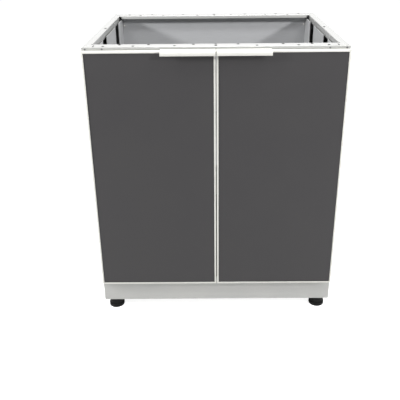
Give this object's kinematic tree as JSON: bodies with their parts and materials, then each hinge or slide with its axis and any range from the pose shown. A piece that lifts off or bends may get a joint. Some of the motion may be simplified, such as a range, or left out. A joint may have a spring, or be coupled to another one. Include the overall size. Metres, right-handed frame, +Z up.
{
  "type": "outdoor kitchen cabinet",
  "caption": "Open-topped aluminium outdoor kitchen base cabinet with slate-grey framed doors, edge pulls, a plinth, a lift-out shelf and levelling feet, ready to take a worktop.",
  "frame": {"origin": "centre of the bounding box at the level of the feet's undersides", "axes": "+Z up, -Y out of the front where the doors are, +X to the right of someone facing the doors"},
  "size_m": [0.762, 0.646, 0.9],
  "materials": {
    "frame_aluminium": "satin anodised, pale silver",
    "white_aluminium": "satin powder coat, near white",
    "slate_panel": "fine matt powder coat, slate grey",
    "grey_sheet": "mill-finish sheet, light grey",
    "plated_steel": "bright plated",
    "black_plastic": "moulded, fine texture"
  },
  "bodies": {
    "carcass": {"plinth_front": "frame_aluminium", "plinth_rear": "frame_aluminium", "plinth_left": "frame_aluminium", "plinth_right": "frame_aluminium", "corner_post_front_left": "frame_aluminium", "corner_post_front_right": "frame_aluminium", "corner_post_rear_left": "frame_aluminium", "corner_post_rear_right": "frame_aluminium", "middle_upright_left": "frame_aluminium", "middle_upright_right": "frame_aluminium", "side_panel_left": "slate_panel", "side_panel_right": "slate_panel", "back_panel": "grey_sheet", "floor_panel": "grey_sheet", "rim_rail_front": "frame_aluminium", "rim_rail_rear": "frame_aluminium", "rim_rail_left": "frame_aluminium", "rim_rail_right": "frame_aluminium", "shelf_clip_front_left": "plated_steel", "shelf_clip_front_right": "plated_steel", "shelf_clip_rear_left": "plated_steel", "shelf_clip_rear_right": "plated_steel", "foot_bracket_front_left": "plated_steel", "foot_bracket_front_right": "plated_steel", "foot_bracket_rear_left": "plated_steel", "foot_bracket_rear_right": "plated_steel", "left_bottom_hinge_arm": "plated_steel", "left_top_hinge_arm": "plated_steel", "right_bottom_hinge_arm": "plated_steel", "right_top_hinge_arm": "plated_steel"},
    "left_door": {"left_door_hinge_stile": "white_aluminium", "left_door_meeting_stile": "white_aluminium", "left_door_bottom_rail": "white_aluminium", "left_door_top_rail": "white_aluminium", "left_door_panel": "slate_panel", "left_door_back_skin": "grey_sheet", "left_door_handle": "white_aluminium", "left_bottom_hinge_cup": "plated_steel", "left_bottom_hinge_pin": "plated_steel", "left_top_hinge_cup": "plated_steel", "left_top_hinge_pin": "plated_steel"},
    "right_door": {"right_door_hinge_stile": "white_aluminium", "right_door_meeting_stile": "white_aluminium", "right_door_bottom_rail": "white_aluminium", "right_door_top_rail": "white_aluminium", "right_door_panel": "slate_panel", "right_door_back_skin": "grey_sheet", "right_door_handle": "white_aluminium", "right_bottom_hinge_cup": "plated_steel", "right_bottom_hinge_pin": "plated_steel", "right_top_hinge_cup": "plated_steel", "right_top_hinge_pin": "plated_steel"},
    "shelf": {"shelf": "grey_sheet"},
    "foot_front_left": {"levelling_foot_front_left": "black_plastic"},
    "foot_front_right": {"levelling_foot_front_right": "black_plastic"},
    "foot_rear_left": {"levelling_foot_rear_left": "black_plastic"},
    "foot_rear_right": {"levelling_foot_rear_right": "black_plastic"}
  },
  "joints": [
    {"name": "left_door_swing", "type": "hinge", "parent": "carcass", "child": "left_door", "pos_m": [-0.373, -0.299, 0.5018], "axis": [0, 0, -1], "range_deg": [0, 105]},
    {"name": "right_door_swing", "type": "hinge", "parent": "carcass", "child": "right_door", "pos_m": [0.373, -0.299, 0.5018], "axis": [0, 0, 1], "range_deg": [0, 105]},
    {"name": "shelf_lift", "type": "slide", "parent": "carcass", "child": "shelf", "axis": [0, 0, 1], "range_m": [0, 0.1]},
    {"name": "foot_front_left_height", "type": "slide", "parent": "carcass", "child": "foot_front_left", "axis": [0, 0, -1], "range_m": [0, 0.025]},
    {"name": "foot_front_right_height", "type": "slide", "parent": "carcass", "child": "foot_front_right", "axis": [0, 0, -1], "range_m": [0, 0.025]},
    {"name": "foot_rear_left_height", "type": "slide", "parent": "carcass", "child": "foot_rear_left", "axis": [0, 0, -1], "range_m": [0, 0.025]},
    {"name": "foot_rear_right_height", "type": "slide", "parent": "carcass", "child": "foot_rear_right", "axis": [0, 0, -1], "range_m": [0, 0.025]}
  ]
}
